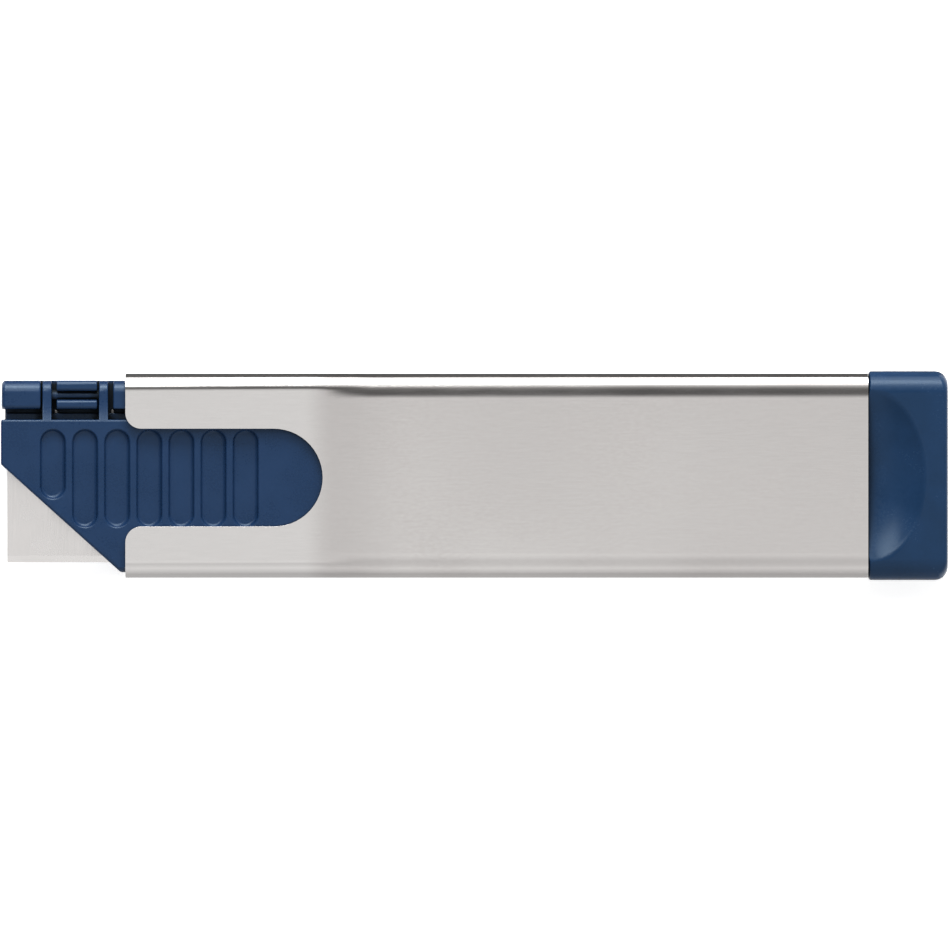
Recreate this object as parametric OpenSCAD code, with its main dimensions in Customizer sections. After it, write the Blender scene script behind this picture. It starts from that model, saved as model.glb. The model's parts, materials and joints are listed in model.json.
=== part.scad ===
// Flat steel-sleeve utility knife with a sliding, hinged blade holder.
// The knife lies on its back face: +X runs from the blade's nose to the end cap,
// +Y from the cutting edge to the hinged spine, and +Z is up through the thickness.
// The origin is the centre of the face that it rests on, with the blade pushed out.

/* [Sleeve] */
// Length of the whole knife with the blade pushed out
overall_l = 120; // [120:1:126]
// How far the blade holder stands out of the sleeve
nose_l = 15.8; // [15.6:0.1:16.4]
// Width of the sleeve, from its cutting side to its spine
sleeve_w = 25.9; // [25.9:0.1:26.3]
// Thickness of the sleeve, which is the thickness of the knife
sleeve_t = 8; // [8:0.1:8.6]
// Thickness of the sleeve's steel sheet
sheet_t = 0.6; // [0.5:0.05:0.6]
// Outer radius of the sleeve's four bends
bend_r = 2; // [1.8:0.1:2]
// Width of the two thumb slots
slot_w = 12.4; // [11:0.1:13]
// Length of the thumb slots, from the sleeve's mouth
slot_l = 25; // [22:0.5:25]

/* [Blade holder] */
// Length of the blade holder
holder_l = 51; // [50:0.5:51]
// Travel from the cutting position back to the safe position
travel = 15.6; // [15:0.1:15.6]
// Thickness of the two closed halves
holder_t = 6.2; // [6:0.1:6.2]
// Number of finger grooves on each side
groove_n = 7; // [4:1:7]
// Distance between the finger grooves
groove_pitch = 4.07; // [3.8:0.01:4.1]
// Width of a finger groove
groove_w = 3.12; // [2.6:0.02:3.2]
// Depth of a finger groove
groove_d = 0.7; // [0.3:0.1:0.9]

/* [Blade] */
// Length of the rectangular blade
blade_l = 39; // [36:0.5:39]
// Height of the blade, from its cutting edge to its back
blade_h = 18.8; // [18:0.1:18.8]
// Thickness of the blade
blade_t = 0.4; // [0.3:0.05:0.4]
// Number of spare blades in the tray
spare_n = 3; // [3:1:3]

/* [End cap] */
// Length of the end cap behind the sleeve
cap_l = 10.1; // [9:0.1:11]
// Width of the end cap
cap_w = 26.5; // [26.3:0.1:27]
// Depth of the finger hollows in its two faces
hollow_d = 1.6; // [1:0.1:1.6]

/* [Hidden] */
$fn = 64;

steel = [0.80, 0.79, 0.78];
spring_steel = [0.62, 0.62, 0.63];
navy = [0.16, 0.25, 0.38];
cap_navy = [0.12, 0.20, 0.31];
eps = 0.01;     // overlap that makes cuts clean
far = 40;       // longer than any part is wide

// Places along X are counted from the knife's nose, and in_frame() moves them to the origin
mid_z = sleeve_t / 2;
mouth_x = nose_l;
sleeve_end_x = overall_l - cap_l;
cavity_w = sleeve_w - 2 * sheet_t;
cavity_t = sleeve_t - 2 * sheet_t;

// Thumb slots
slot_y = -0.25;
slot_mouth_r = 2;

// Blade holder: its two halves meet at split_z
holder_spine_y = 12.05;
holder_belly_y = -12.25;
holder_r = 1.5;
holder_back_z = mid_z - holder_t / 2;
holder_front_z = mid_z + holder_t / 2;
split_z = mid_z + blade_t / 2;
split_gap = 0.04;
front_half_end_x = 42.5;
front_half_top_y = 7.1;
rear_block_x = front_half_end_x + 0.2;
lip_t = 0.8;            // the front half's lip covers the blade's back
nose_low_y = 1.42;      // where the slanted lower edge leaves the nose
slant = 42.3;           // degrees between the slanted edge and the cutting edge
tip_x = (nose_low_y - holder_belly_y) / tan(slant);

// Finger grooves
groove_x = 6.59;
groove_top_y = 5.8;
groove_low_y = -6.5;
groove_first_low_y = -2.9;

// Snap hinge between the halves: arms on the front half, knuckles on the back half
hinge_y = 10.18;
hinge_z = mid_z + 1.4;
hinge_bar_r = 0.7;
hinge_bore_r = 0.78;
clip_mouth = 1.12;
arm_n = 4;
arm_w = 1.14;
arm_x = 5.85;
arm_pitch = 7.16;
arm_gap_front = 0.24;   // play in front of an arm
arm_gap_rear = 0.66;    // play behind it
knuckle_low_y = 8.45;
knuckle_first_x = 0.17;
knuckle_last_end_x = 33;
notch_x = 0.5;          // the back half steps back by this between its knuckles and its plate

// Blade
blade_x = 0.75;
blade_low_y = -11;
blade_high_y = blade_low_y + blade_h;
bevel_h = 0.85;
stud_r = 1.4;
stud_hole_r = 1.5;
stud_at = 10;           // studs are this far each side of the blade's middle
stud_rise = 0.8;
seat_play = 0.15;
spine_pin_r = 0.3;
spine_pin_y = blade_high_y + 0.02 + spine_pin_r;
spine_pin_offset = 1.09; // behind each hinge arm
spine_pin_depth = 1.6;
spine_pin_rise = 0.7;

// Release button in the holder's rear block, with its slot in the sleeve's spine
button_x = 46.6;
button_r = 1.7;
button_tip_r = 1.1;
button_play = 0.05;
button_floor_y = 4.4;
button_foot_y = 9.4;
button_neck_y = cavity_w / 2 - 0.15;
button_top_y = sleeve_w / 2 - 0.1;
button_well = 1.4;
coil_r = 1.0;
coil_wire_r = 0.15;
coil_turns = 7;

// Bowed leaf in the rear block's lower edge, which presses on the sleeve
friction_pocket = [7.6, 1.4, 3.4];
friction_x = 46.85;
leaf_t = 0.3;
leaf_gap = 0.03;

// Spare-blade tray, which is also the spigot of the end cap
tray_w = 24.4;
tray_t = 6.5;
tray_pocket_w = blade_h + 0.4;
tray_web_z = [mid_z - 1.7, mid_z - 0.7];
tray_wall = 1.6;
tray_lip = 0.8;
tray_lip_h = 1.1;
tray_play = 0.15;       // in front of the spare blades, and twice this behind them
tray_x = sleeve_end_x - tray_wall - 3 * tray_play - blade_l - tray_lip;
spare_x = tray_x + tray_lip + tray_play;
spare_gap = 0.02;
spring_l = 26;
spring_w = 8;
spring_lug = [2, 21.6];
tongue = [7, 18, 2.3];
tongue_play = 0.05;
cap_pin_r = 0.75;
cap_pin_x = 4.5;        // behind the sleeve's end
cap_pin_inner_y = 4;
cap_pin_depth = 0.25;   // its ends lie this far below the cap's sides

// End cap
cap_corner_r = 1.6;
cap_edge_r = 2.2;
cap_rear_r = 0.7;
hollow_half_w = 10.9;   // half the hollow's width at the cap's face
hollow_half_l = 7.2;    // its length from the sleeve's end

function knuckle_start(i) = i == 0 ? knuckle_first_x : arm_x + (i - 1) * arm_pitch + arm_w / 2 + arm_gap_rear;
function knuckle_end(i) = i == arm_n ? knuckle_last_end_x : arm_x + i * arm_pitch - arm_w / 2 - arm_gap_front;
function arc_radius(half, rise) = (half * half + rise * rise) / (2 * rise);
function spare_z(i) = tray_web_z[1] + spare_gap + blade_t / 2 + (i - 1) * (blade_t + spare_gap);
spring_low_z = spare_z(spare_n) + blade_t / 2 + spare_gap;

module in_frame() {
    translate([-overall_l / 2, 0, 0]) children();
}

// ---- Shapes that repeat ----

module rounded_rect(w, h, r) {
    square([w - 2 * r, h], center = true);
    square([w, h - 2 * r], center = true);
    for (sx = [-1, 1], sy = [-1, 1])
        translate([sx * (w / 2 - r), sy * (h / 2 - r)]) circle(r);
}

// Bar along X with a rounded section, centred on the knife's thickness
module rounded_bar(x0, x1, w, t, r, y = 0) {
    translate([x0, y, mid_z]) rotate([90, 0, 90]) linear_extrude(x1 - x0) rounded_rect(w, t, r);
}

// Box between two corners
module box(low, high) {
    translate(low) cube(high - low);
}

// Upright pocket or boss with half-round ends, along Y, from z0 to z1
module oblong_y(x, y0, y1, w, z0, z1) {
    translate([x, 0, z0]) linear_extrude(z1 - z0) {
        translate([-w / 2, y0 + w / 2]) square([w, y1 - y0 - w]);
        for (y = [y0 + w / 2, y1 - w / 2]) translate([0, y]) circle(w / 2);
    }
}

// Bowed leaf spring: its ends lie at z = 0 and its middle rises along +Z; width along Y
module bow(length, rise, t, w) {
    half = length / 2;
    r = arc_radius(half, rise);
    rotate([90, 0, 0]) linear_extrude(w, center = true) intersection() {
        translate([0, rise - r]) difference() {
            circle(r + t / 2);
            circle(r - t / 2);
        }
        translate([-half, -t]) square([length, rise + 3 * t]);
    }
}

module single_blade(x, z) {
    middle = x + blade_l / 2;
    difference() {
        translate([x, 0, z]) rotate([90, 0, 90]) linear_extrude(blade_l) polygon([
            [blade_low_y, 0], [blade_low_y + bevel_h, -blade_t / 2], [blade_high_y, -blade_t / 2],
            [blade_high_y, blade_t / 2], [blade_low_y + bevel_h, blade_t / 2]
        ]);
        for (s = [-1, 1]) translate([middle + s * stud_at, (blade_low_y + blade_high_y) / 2, z - blade_t])
            cylinder(h = 2 * blade_t, r = stud_hole_r);
    }
}

// ---- Sleeve ----

module thumb_slot() {
    end_x = mouth_x + slot_l;
    translate([0, slot_y, -1]) linear_extrude(sleeve_t + 2) {
        translate([mouth_x - 1, -slot_w / 2]) square([end_x - slot_w / 2 - mouth_x + 1, slot_w]);
        translate([end_x - slot_w / 2, 0]) circle(slot_w / 2);
        difference() {
            translate([mouth_x - 1, -slot_w / 2 - slot_mouth_r])
                square([slot_mouth_r + 1, slot_w + 2 * slot_mouth_r]);
            for (s = [-1, 1])
                translate([mouth_x + slot_mouth_r, s * (slot_w / 2 + slot_mouth_r)]) circle(slot_mouth_r);
        }
    }
}

module button_slot() {
    r = button_tip_r + 0.1;
    translate([0, sleeve_w / 2 - sheet_t - 1, mid_z]) rotate([-90, 0, 0]) linear_extrude(sheet_t + 2) {
        translate([button_x, -r]) square([travel, 2 * r]);
        for (x = [button_x, button_x + travel]) translate([x, 0]) circle(r);
    }
}

module sleeve() {
    color(steel) difference() {
        rounded_bar(mouth_x, sleeve_end_x, sleeve_w, sleeve_t, bend_r);
        rounded_bar(mouth_x - 1, sleeve_end_x + 1, cavity_w, cavity_t, bend_r - sheet_t);
        thumb_slot();
        button_slot();
    }
}

// ---- Blade holder ----

module nose_outline(end_x, top_y) {
    polygon([
        [0, top_y], [0, nose_low_y], [tip_x, holder_belly_y],
        [end_x, holder_belly_y], [end_x, top_y]
    ]);
}

module grooves(z0, z1) {
    for (i = [0 : groove_n - 1]) {
        low = i == 0 ? groove_first_low_y : groove_low_y;
        oblong_y(groove_x + i * groove_pitch, low, groove_top_y, groove_w, z0, z1);
    }
}

module holder_envelope() {
    w = holder_spine_y - holder_belly_y;
    rounded_bar(-1, holder_l, w, holder_t, holder_r, (holder_spine_y + holder_belly_y) / 2);
}

// Round openings and necks of the snap-in knuckles
module clip_cut(x0, x1) {
    translate([x0 - eps, hinge_y, hinge_z]) rotate([0, 90, 0])
        cylinder(h = x1 - x0 + 2 * eps, r = hinge_bore_r);
    box([x0 - eps, hinge_y - clip_mouth / 2, hinge_z],
        [x1 + eps, hinge_y + clip_mouth / 2, holder_front_z + 1]);
}

module hinge_knuckles() {
    for (i = [0 : arm_n]) {
        x0 = knuckle_start(i);
        x1 = knuckle_end(i);
        difference() {
            box([x0, knuckle_low_y, split_z - eps], [x1, holder_spine_y + 1, holder_front_z + 1]);
            if (i % 2 == 1) clip_cut(x0, x1);
        }
    }
}

module blade_seat() {
    box([blade_x - seat_play, blade_low_y - seat_play, split_z - blade_t - 0.02],
        [blade_x + blade_l + seat_play, blade_high_y + seat_play, split_z + eps]);
}

module blade_studs(r, z0, z1) {
    for (s = [-1, 1])
        translate([blade_x + blade_l / 2 + s * stud_at, (blade_low_y + blade_high_y) / 2, z0])
            cylinder(h = z1 - z0, r = r);
}

module spine_pin_row(r, z0, z1) {
    for (i = [0 : arm_n - 1])
        translate([arm_x + i * arm_pitch + spine_pin_offset, spine_pin_y, z0])
            cylinder(h = z1 - z0, r = r);
}

module back_half_blank() {
    translate([0, 0, -1]) linear_extrude(split_z + 1) nose_outline(holder_l, front_half_top_y);
    box([notch_x, front_half_top_y - eps, -1], [holder_l, knuckle_low_y + eps, split_z]);
    box([knuckle_first_x, knuckle_low_y, -1], [holder_l, holder_spine_y + 1, split_z]);
    hinge_knuckles();
    // spine behind the hinge, and the full block behind the front half
    box([knuckle_last_end_x - eps, knuckle_low_y, -1], [holder_l, holder_spine_y + 1, sleeve_t]);
    box([rear_block_x, holder_belly_y - 1, -1], [holder_l, holder_spine_y + 1, sleeve_t]);
}

module holder_back() {
    color(navy) difference() {
        intersection() {
            holder_envelope();
            back_half_blank();
        }
        blade_seat();
        grooves(-1, holder_back_z + groove_d);
        spine_pin_row(spine_pin_r + 0.01, split_z - spine_pin_depth, split_z + 1);
        translate([button_x, button_floor_y, mid_z]) rotate([-90, 0, 0])
            cylinder(h = far, r = button_r + button_play);
        translate([friction_x, holder_belly_y - 1 + friction_pocket.y / 2, mid_z])
            cube(friction_pocket + [0, 2, 0], center = true);
    }
    color(navy) blade_studs(stud_r, split_z - blade_t - 0.1, split_z + stud_rise);
}

module hinge_arms() {
    for (i = [0 : arm_n - 1]) {
        x = arm_x + i * arm_pitch - arm_w / 2;
        box([x, front_half_top_y - eps, split_z + split_gap],
            [x + arm_w, holder_spine_y - 0.05, sleeve_t]);
    }
    for (i = [0, 2])
        translate([arm_x + i * arm_pitch, hinge_y, hinge_z]) rotate([0, 90, 0])
            cylinder(h = arm_pitch, r = hinge_bar_r);
}

module holder_front() {
    color(navy) difference() {
        intersection() {
            holder_envelope();
            union() {
                translate([0, 0, split_z + split_gap]) linear_extrude(holder_t)
                    nose_outline(front_half_end_x, front_half_top_y);
                translate([0, 0, split_z + split_gap]) linear_extrude(lip_t)
                    nose_outline(front_half_end_x, blade_high_y - 0.05);
                hinge_arms();
            }
        }
        grooves(holder_front_z - groove_d, sleeve_t + 1);
        blade_studs(stud_hole_r, mid_z, split_z + stud_rise + 0.3);
    }
}

module blade() {
    color(steel) single_blade(blade_x, mid_z);
}

module spine_pins() {
    color(steel) spine_pin_row(spine_pin_r, split_z - spine_pin_depth, split_z + spine_pin_rise);
}

module friction_spring() {
    rise = friction_pocket.y - leaf_t - 0.1;
    color(spring_steel) translate([friction_x, -cavity_w / 2 + leaf_gap + leaf_t / 2 + rise, mid_z])
        rotate([90, 0, 0]) bow(friction_pocket.x - 0.4, rise, leaf_t, friction_pocket.z - 0.4);
}

// ---- Release button ----

module release_button() {
    color(navy) difference() {
        translate([button_x, 0, mid_z]) rotate([-90, 0, 0]) {
            translate([0, 0, button_foot_y]) cylinder(h = button_neck_y - button_foot_y, r = button_r);
            translate([0, 0, button_foot_y]) cylinder(h = button_top_y - button_foot_y, r = button_tip_r);
        }
        translate([button_x, button_foot_y - 1, mid_z]) rotate([-90, 0, 0])
            cylinder(h = button_well + 1, r = coil_r + coil_wire_r + 0.1);
    }
}

// Helical spring along +Z, swept round a ring of points
module coil(radius, wire_r, height, turns, steps = 16, sides = 8) {
    n = turns * steps;
    points = [for (i = [0 : n], k = [0 : sides - 1])
        let (a = 360 * i / steps, b = 360 * k / sides, r = radius + wire_r * cos(b))
        [r * cos(a), r * sin(a), height * i / n + wire_r * sin(b)]];
    walls = [for (i = [0 : n - 1], k = [0 : sides - 1])
        let (next = (k + 1) % sides)
        [i * sides + k, i * sides + next, (i + 1) * sides + next, (i + 1) * sides + k]];
    first_cap = [[for (k = [sides - 1 : -1 : 0]) k]];
    last_cap = [[for (k = [0 : sides - 1]) n * sides + k]];
    polyhedron(points, concat(walls, first_cap, last_cap));
}

module button_spring() {
    low = button_floor_y + coil_wire_r + 0.02;
    high = button_foot_y + button_well - coil_wire_r - 0.02;
    color(spring_steel) translate([button_x, low, mid_z]) rotate([-90, 0, 0])
        coil(coil_r, coil_wire_r, high - low, coil_turns);
}

// ---- End cap and spare-blade tray ----

// Ring whose lowest part dishes the cap's upper face: a long curve across it and a tight one along it
module finger_hollow() {
    r_across = arc_radius(hollow_half_w, hollow_d);
    r_along = arc_radius(hollow_half_l, hollow_d);
    translate([sleeve_end_x, 0, sleeve_t - hollow_d + r_across]) rotate([0, 90, 0])
        rotate_extrude() translate([r_across - r_along, 0]) circle(r_along);
}

module cap_body() {
    end_x = overall_l;
    intersection() {
        rounded_bar(sleeve_end_x, end_x, cap_w, sleeve_t, cap_edge_r);
        // plan with two rounded rear corners
        translate([0, 0, -1]) linear_extrude(sleeve_t + 2) {
            translate([sleeve_end_x - 1, -cap_w / 2]) square([cap_l + 1 - cap_corner_r, cap_w]);
            translate([sleeve_end_x - 1, -cap_w / 2 + cap_corner_r])
                square([cap_l + 1, cap_w - 2 * cap_corner_r]);
            for (s = [-1, 1]) translate([end_x - cap_corner_r, s * (cap_w / 2 - cap_corner_r)])
                circle(cap_corner_r);
        }
        // side view with two rounded rear edges
        translate([0, far / 2, 0]) rotate([90, 0, 0]) linear_extrude(far) {
            translate([sleeve_end_x - 1, 0]) square([cap_l + 1 - cap_rear_r, sleeve_t]);
            translate([sleeve_end_x - 1, cap_rear_r]) square([cap_l + 1, sleeve_t - 2 * cap_rear_r]);
            for (z = [cap_rear_r, sleeve_t - cap_rear_r]) translate([end_x - cap_rear_r, z])
                circle(cap_rear_r);
        }
    }
}

module cap_pin_pair(r, y0, y1) {
    for (s = [-1, 1]) translate([sleeve_end_x + cap_pin_x, s * y0, mid_z]) rotate([s * -90, 0, 0])
        cylinder(h = y1 - y0, r = r);
}

module end_cap() {
    color(cap_navy) difference() {
        cap_body();
        finger_hollow();
        translate([0, 0, sleeve_t]) mirror([0, 0, 1]) finger_hollow();
        box([sleeve_end_x - 1, -tongue.y / 2 - tongue_play, mid_z - tongue.z / 2 - tongue_play],
            [sleeve_end_x + tongue.x + 0.2, tongue.y / 2 + tongue_play, mid_z + tongue.z / 2 + tongue_play]);
        cap_pin_pair(cap_pin_r + 0.01, cap_pin_inner_y, far);
    }
}

module tray_spring_lugs(play, height) {
    for (s = [-1, 1])
        translate([spare_x + blade_l / 2 + s * (spring_l - spring_lug.x) / 2, 0, spring_low_z + height / 2])
            cube([spring_lug.x + 2 * play, spring_lug.y + 2 * play, height], center = true);
}

module blade_tray() {
    front_x = tray_x + tray_lip;
    pocket_end_x = sleeve_end_x - tray_wall;
    half_w = tray_pocket_w / 2;
    color(navy) difference() {
        union() {
            rounded_bar(tray_x, sleeve_end_x, tray_w, tray_t, 1.4);
            box([sleeve_end_x - eps, -tongue.y / 2, mid_z - tongue.z / 2],
                [sleeve_end_x + tongue.x, tongue.y / 2, mid_z + tongue.z / 2]);
        }
        // room for the spare blades above the web, and a lightening recess below it
        box([front_x, -half_w, tray_web_z[1]], [pocket_end_x, half_w, far]);
        box([tray_x - 1, -half_w, tray_web_z[1] + tray_lip_h], [front_x + eps, half_w, far]);
        box([tray_x - 1, -half_w, -1], [pocket_end_x, half_w, tray_web_z[0]]);
        tray_spring_lugs(0.1, far);
        cap_pin_pair(cap_pin_r + 0.01, cap_pin_inner_y, far);
    }
}

module cap_pins() {
    color(steel) cap_pin_pair(cap_pin_r, cap_pin_inner_y + 0.1, cap_w / 2 - cap_pin_depth);
}

module spare_blade(i) {
    color(steel) translate([0, -(blade_low_y + blade_high_y) / 2, 0]) single_blade(spare_x, spare_z(i));
}

// Bowed leaf that holds the spare blades down and grips the sleeve, so that the cap stays in
module tray_spring() {
    rise = mid_z + cavity_t / 2 - leaf_gap - leaf_t - spring_low_z;
    color(spring_steel) union() {
        translate([spare_x + blade_l / 2, 0, spring_low_z + leaf_t / 2])
            bow(spring_l, rise, leaf_t, spring_w);
        tray_spring_lugs(0, leaf_t);
    }
}

in_frame() {
    sleeve();
    holder_back();
    holder_front();
    blade();
    spine_pins();
    friction_spring();
    release_button();
    button_spring();
    end_cap();
    blade_tray();
    cap_pins();
    tray_spring();
    for (i = [1 : spare_n])
        spare_blade(i);
}
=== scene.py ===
import json
import math

import bmesh
import bpy
import numpy as np
from mathutils import Matrix, Vector
from mathutils.geometry import delaunay_2d_cdt


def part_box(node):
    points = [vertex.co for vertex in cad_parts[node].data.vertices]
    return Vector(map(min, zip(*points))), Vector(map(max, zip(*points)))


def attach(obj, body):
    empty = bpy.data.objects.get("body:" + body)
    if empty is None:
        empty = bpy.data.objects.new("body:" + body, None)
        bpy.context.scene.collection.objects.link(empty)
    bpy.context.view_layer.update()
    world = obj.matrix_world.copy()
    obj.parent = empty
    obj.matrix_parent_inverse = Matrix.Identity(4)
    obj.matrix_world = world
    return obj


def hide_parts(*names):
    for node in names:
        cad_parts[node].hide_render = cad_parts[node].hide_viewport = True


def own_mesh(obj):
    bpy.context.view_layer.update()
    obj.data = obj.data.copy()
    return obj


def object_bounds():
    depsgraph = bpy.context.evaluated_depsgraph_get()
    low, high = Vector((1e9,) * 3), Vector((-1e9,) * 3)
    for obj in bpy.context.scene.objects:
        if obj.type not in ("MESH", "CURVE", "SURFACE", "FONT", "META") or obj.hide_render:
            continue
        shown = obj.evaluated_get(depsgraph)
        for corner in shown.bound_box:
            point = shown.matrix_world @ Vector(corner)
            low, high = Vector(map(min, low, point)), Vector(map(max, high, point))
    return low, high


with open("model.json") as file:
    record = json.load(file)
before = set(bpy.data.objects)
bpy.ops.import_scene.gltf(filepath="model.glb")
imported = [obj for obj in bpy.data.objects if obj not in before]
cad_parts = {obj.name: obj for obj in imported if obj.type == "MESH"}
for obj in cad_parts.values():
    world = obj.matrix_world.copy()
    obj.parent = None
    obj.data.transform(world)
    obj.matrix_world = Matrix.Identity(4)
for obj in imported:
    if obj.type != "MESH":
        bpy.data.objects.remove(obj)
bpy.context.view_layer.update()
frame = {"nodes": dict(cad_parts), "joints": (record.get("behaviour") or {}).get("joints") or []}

# Shapes are worked out in millimetres in the CAD frame, and become metres in piece().
MM = 0.001

# Fineness: step of an arc in an outline, and turns through a rounded edge
ARC_STEP = math.radians(7)
RIM_STEPS = 5
QUARTER = [math.pi / 2 * k / RIM_STEPS for k in range(RIM_STEPS + 1)]

# Angles from which an edge is shaded sharp, and from which a CAD node's edge is rounded
SHARP_ANGLE = math.radians(38)
DRESS_ANGLE = math.radians(50)


def box_mm(node):
    """Lowest and highest corner of a CAD node, in millimetres."""
    low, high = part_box(node)
    return np.array(low) / MM, np.array(high) / MM


def travel_mm(joint):
    """How far a slide joint moves from rest, in millimetres."""
    return next(j["range_m"][1] for j in frame["joints"] if j["name"] == joint) / MM


# ---- Places that the CAD part sets ----

SLEEVE_LOW, SLEEVE_HIGH = box_mm("sleeve")
BACK_LOW, BACK_HIGH = box_mm("holder_back")
FRONT_LOW, FRONT_HIGH = box_mm("holder_front")
BLADE_LOW, BLADE_HIGH = box_mm("blade")
CAP_LOW, CAP_HIGH = box_mm("end_cap")
BUTTON_LOW, BUTTON_HIGH = box_mm("release_button")
PINS_LOW, PINS_HIGH = box_mm("spine_pins")

NOSE_X = BACK_LOW[0]
MOUTH_X = SLEEVE_LOW[0]
MID_Z = (SLEEVE_LOW[2] + SLEEVE_HIGH[2]) / 2
SPLIT_Z = BLADE_HIGH[2]
BUTTON_X = (BUTTON_LOW[0] + BUTTON_HIGH[0]) / 2
BUTTON_FOOT_R = (BUTTON_HIGH[0] - BUTTON_LOW[0]) / 2

# ---- Sizes of the shapes that the CAD model leaves plain ----

# Sleeve: a stamped blank, bent round a rounded section, with a butt seam along its cutting side
SHEET_T = 0.6
BEND_R = 2.0
BEND_STEPS = 12
# Behind the slot the wide faces are crowned: they fall away a little towards the bends
CROWN_W = 1.5
CROWN_STEPS = 6
CROWN_TURN = math.radians(9)
CROWN_X = (24.2, 25.4, 26.8, 28.6, 31.0)
SHEET_EDGE_R = 0.012
SHEET_SHARP_ANGLE = math.radians(8.2)
SEAM_GAP = 0.06
SLOT_Y = -0.25
SLOT_HALF_W = 6.2
SLOT_L = 25
SLOT_MOUTH_R = 2.0
BUTTON_SLOT_R = 1.2

# Blade holder
NOSE_LOW_Y = 1.42
PLATE_TOP_Y = 7.1
TIP_X = 15.2
TIP_R = 0.6
NOTCH_X = 0.5
NOTCH_EDGE_R = 0.1
NOTCH_MOUTH_R = 0.13
NOTCH_FLOOR_R = 0.12
BACK_NOSE_R = 0.6
BACK_NOSE_EDGE_R = 0.4
FRONT_NOSE_R = 0.4
FRONT_CORNER_R = 0.35
FRONT_SEAM_EDGE_R = 0.1
KNUCKLE_X = 0.1
KNUCKLE_CORNER_R = 0.6
KNUCKLE_START_R = 0.5
KNUCKLE_END_R = 0.2
KNUCKLE_SPINE_R = 1.6
KNUCKLE_LOW_Y = 8.45
GROOVE_N = 7
GROOVE_X = 6.59
GROOVE_PITCH = 4.07
GROOVE_HALF_W = 1.56
GROOVE_TOP_Y = 5.8
GROOVE_LOW_Y = -6.5
GROOVE_FIRST_LOW_Y = -2.9
GROOVE_DEPTH = 0.7
GROOVE_RIM_R = 0.22
GROOVE_FLOOR_R = 0.45
LONG_EDGE_R = 1.5
EDGE_GROWTH_L = 3.0
PLATE_EDGE_R = 0.3
REAR_CORNER_R = 1.65
REAR_EDGE_R = 0.3
REAR_TOP_EDGE_R = 0.25
HALVES_GAP = 0.2
BLOCK_ROOT = 0.95
BEND_PLAY = 0.08
RELIEF_BEFORE_TIP = 5
RELIEF_STEPS = 12
SEAT_PLAY = 0.15
SEAT_CORNER_R = 0.2
SEAT_Z = BLADE_LOW[2] - 0.02

# Lip of the front half, which lies over the blade's back edge
LIP_OVERLAP = 0.3
LIP_TOP_GAP = 0.12
LIP_START_GAP = 0.1
LIP_END_GAP = 0.5
LIP_T = 0.4
LIP_CORNER_R = 0.15
LIP_LOW_EDGE_R = 0.05
LIP_HIGH_EDGE_R = 0.1
LIP_INSET = 0.01

# Snap hinge
ARM_N = 4
ARM_X = 5.85
ARM_PITCH = 7.16
ARM_HALF_W = 0.57
ARM_GAP_FRONT = 0.24
ARM_GAP_REAR = 0.66
ARM_TIP_R = 1.5
ARM_LOW_R = 0.3
ARM_EDGE_R = 0.14
ARM_ROOT = 0.6
ARM_LOW_INSET = 0.05
ARM_HIGH_INSET = 0.03
HINGE_Y = 10.18
HINGE_Z = MID_Z + 1.4
HINGE_BAR_R = 0.7
BAR_ROOT = 0.2
HINGE_BORE_R = 0.78
CLIP_MOUTH_HALF = 0.56
CLIP_SPINE_R = 0.6
CLIP_TIP_R = 0.4
CLIP_LOW_R = 0.45
CLIP_EDGE_R = 0.12
CLIP_BORE_STEPS = 28
LAST_KNUCKLE_END_X = 33

# Pins behind the blade: their upper ends stay this far below the CAD ones
PIN_SUNK = 0.35
PIN_EDGE_SHARE = 0.6

# Release button
BUTTON_PLAY = 0.1
BUTTON_TIP_R = 1.1
BUTTON_NECK_GAP = 0.15
BUTTON_BEVEL = 0.1
BUTTON_WELL_R = 1.25
BUTTON_WELL = 1.4
BUTTON_DOME = 0.35
BUTTON_DOME_TURN = 1.4

# Coil spring under the button
COIL_END_PLAY = 0.02
COIL_WIRE_R = 0.15
COIL_TURNS = 7
COIL_STEPS = 28
COIL_WIRE_SIDES = 12

# End cap
CAP_CORNER_R = 1.6
CAP_EDGE_R = 2.8
CAP_REAR_R = 0.7
CAP_JOINT_R = 0.3
CAP_JOINT_GAP = 0.12
HOLLOW_DEPTH = 1.6
HOLLOW_HALF_W = 10.9
HOLLOW_HALF_L = 7.2
HOLLOW_BALL_R = 6.0
HOLLOW_LIP = 0.06
HOLLOW_LIP_RISE = 0.01
HOLLOW_BOWL_STEPS = 44
HOLLOW_LIP_STEPS = 13
HOLLOW_STEPS = 192
CAP_PIN_INNER_Y = 4.1
CAP_PIN_PLAY = 0.03
CAP_PIN_EDGE_R = 0.15
CAP_HOLE_EDGE_R = 0.001
# A pin's hole is cut this many times its play past the pin's outer end
HOLE_OVERRUN = 20

# Rounding of the edges of the CAD nodes that stay
TRAY_BEVEL = 0.15
SPRING_BEVEL = 0.06


# ---- Outlines ----

def unit(v):
    """The vector at length 1."""
    return v / np.linalg.norm(v)


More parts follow.
